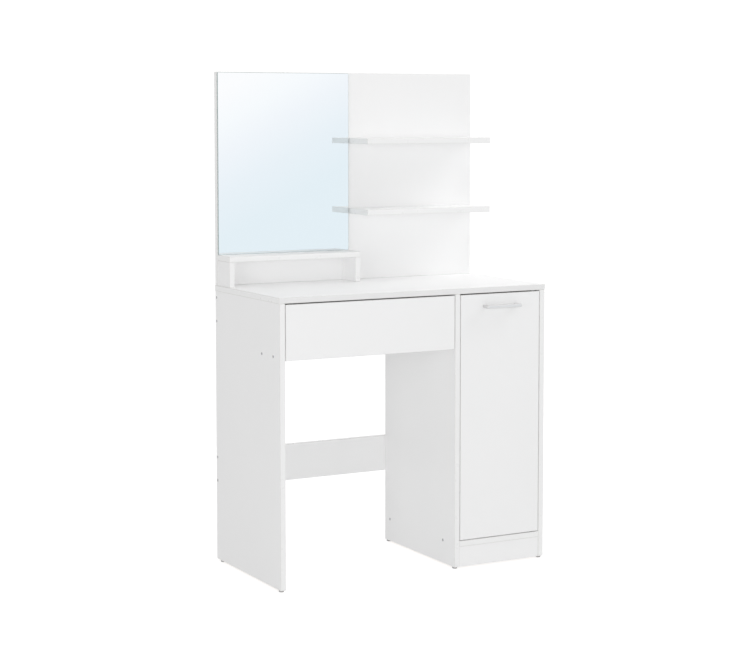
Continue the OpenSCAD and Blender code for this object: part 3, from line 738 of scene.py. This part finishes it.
SATIN_METAL = finish_of("satin_nickel", tones=((0.775, 0.775, 0.775), (0.715, 0.715, 0.717)), cloud=20,
                        rough=(0.32, 0.44), rough_scale=90, grain=500, relief=0.00002,
                        stretch=(0.1, 1, 1), metal=1.0)
handle_low, handle_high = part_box("door_handle")
handle = skin("bow_handle", [bow(handle_low, handle_high, foot=0.014, bar=0.007, outer=0.005, inner=0.003,
                                 soft=0.0022)])
make_piece("bow_handle", handle, "door", (SATIN_METAL,), ("door_handle",))


# ---------------------------------------------------------------------------------------------
# Studio: a plain pale floor, a white surround, three soft lights, and the camera.
# A card that only reflections see gives the mirror its pale blue gradient.

scene = bpy.context.scene
scene.view_settings.view_transform = "Standard"
scene.cycles.diffuse_bounces = 10

floor_mesh = bpy.data.meshes.new("pale_floor")
reach = 7.0
floor_mesh.from_pydata([(-reach, -reach, 0), (reach, -reach, 0), (reach, reach, 0), (-reach, reach, 0)], [],
                       [(0, 1, 2, 3)])
floor = bpy.data.objects.new("pale_floor", floor_mesh)
scene.collection.objects.link(floor)
pale = bpy.data.materials.new("pale_floor")
pale.use_nodes = True
pale_shader = pale.node_tree.nodes["Principled BSDF"]
pale_shader.inputs["Base Color"].default_value = (0.35, 0.35, 0.35, 1)
pale_shader.inputs["Roughness"].default_value = 0.9
pale_shader.inputs["Specular IOR Level"].default_value = 0.1
pale_shader.inputs["Emission Color"].default_value = (1, 1, 1, 1)
floor_mesh.materials.append(pale)


def seen_strength(tree, socket, lighting, mirrored, seen):
    """Gives a glow three strengths: as light on the table, as seen in a glossy face, as seen directly."""
    path = tree.nodes.new("ShaderNodeLightPath")
    glossy, final = tree.nodes.new("ShaderNodeMix"), tree.nodes.new("ShaderNodeMix")
    glossy.inputs["A"].default_value = lighting
    glossy.inputs["B"].default_value = mirrored
    final.inputs["B"].default_value = seen
    tree.links.new(path.outputs["Is Glossy Ray"], glossy.inputs["Factor"])
    tree.links.new(glossy.outputs["Result"], final.inputs["A"])
    tree.links.new(path.outputs["Is Camera Ray"], final.inputs["Factor"])
    tree.links.new(final.outputs["Result"], socket)


seen_strength(pale.node_tree, pale_shader.inputs["Emission Strength"], lighting=0.42, mirrored=0.6,
              seen=0.82)

world = bpy.data.worlds.new("white_surround")
scene.world = world
world.use_nodes = True
surround = world.node_tree.nodes["Background"]
surround.inputs["Color"].default_value = (1, 1, 1, 1)
seen_strength(world.node_tree, surround.inputs["Strength"], lighting=0.6, mirrored=1.05, seen=1.05)


def soft_light(name, place, size, power):
    """A square soft box at a place, turned to face the middle of the table."""
    lamp = bpy.data.lights.new(name, "AREA")
    lamp.size = size
    lamp.energy = power
    box = bpy.data.objects.new(name, lamp)
    scene.collection.objects.link(box)
    box.location = place
    box.rotation_euler = (Vector((0, 0, 0.7)) - Vector(place)).to_track_quat("-Z", "Y").to_euler()
    box.visible_glossy = False


soft_light("front_light", (-2.0, -4.7, 1.2), size=1.0, power=32)
soft_light("left_light", (-3.9, -2.9, 1.3), size=1.4, power=18)
soft_light("right_top_light", (4.0, -0.5, 4.2), size=3.0, power=132)

card_mesh = bpy.data.meshes.new("mirror_card")
card_y, card_left, card_right, card_foot, card_top = -2.4, -0.8, 3.2, 0.02, 2.8
card_mesh.from_pydata([(card_left, card_y, card_foot), (card_right, card_y, card_foot),
                       (card_right, card_y, card_top), (card_left, card_y, card_top)], [], [(3, 2, 1, 0)])
card = bpy.data.objects.new("mirror_card", card_mesh)
scene.collection.objects.link(card)
card.visible_camera = False
card.visible_diffuse = False
card.visible_shadow = False
card.visible_transmission = False
graded = bpy.data.materials.new("graded_card")
graded.use_nodes = True
nodes, links = graded.node_tree.nodes, graded.node_tree.links
nodes.remove(nodes["Principled BSDF"])
place = nodes.new("ShaderNodeTexCoord")
lie = nodes.new("ShaderNodeMapping")
across, down = 0.3 / 0.616, -0.7 / 0.762
bright_corner = (0.744, 1.384)
lie.inputs["Location"].default_value = (-bright_corner[0] * across - bright_corner[1] * down, 0, 0)
lie.inputs["Scale"].default_value = (across, 1, down)
sum_up = nodes.new("ShaderNodeSeparateXYZ")
total = nodes.new("ShaderNodeMath")
total.operation = "ADD"
ramp = nodes.new("ShaderNodeValToRGB")
glow = nodes.new("ShaderNodeEmission")
links.new(place.outputs["Object"], lie.inputs["Vector"])
links.new(lie.outputs["Vector"], sum_up.inputs["Vector"])
links.new(sum_up.outputs["X"], total.inputs[0])
links.new(sum_up.outputs["Z"], total.inputs[1])
links.new(total.outputs["Value"], ramp.inputs["Fac"])
links.new(ramp.outputs["Color"], glow.inputs["Color"])
links.new(glow.outputs["Emission"], nodes["Material Output"].inputs["Surface"])
steps = ((0.08, (1.0, 0.945, 0.936)), (0.207, (0.957, 0.926, 0.926)), (0.33, (0.9, 0.883, 0.9)),
         (0.48, (0.837, 0.851, 0.876)), (0.66, (0.797, 0.835, 0.862)))
while len(ramp.color_ramp.elements) < len(steps):
    ramp.color_ramp.elements.new(0.5)
for stop, (at, colour) in zip(ramp.color_ramp.elements, steps):
    stop.position = at
    stop.color = (*colour, 1)
glow.inputs["Strength"].default_value = 1.149
card_mesh.materials.append(graded)

camera_data = bpy.data.cameras.new("camera")
camera_data.lens = 89.56
camera_data.shift_y = -0.1021
camera = bpy.data.objects.new("camera", camera_data)
scene.collection.objects.link(camera)
camera.location = (-2.4172, -4.3993, 1.2244)
camera.rotation_euler = (math.radians(85.568), 0, math.radians(-28.552))
scene.camera = camera
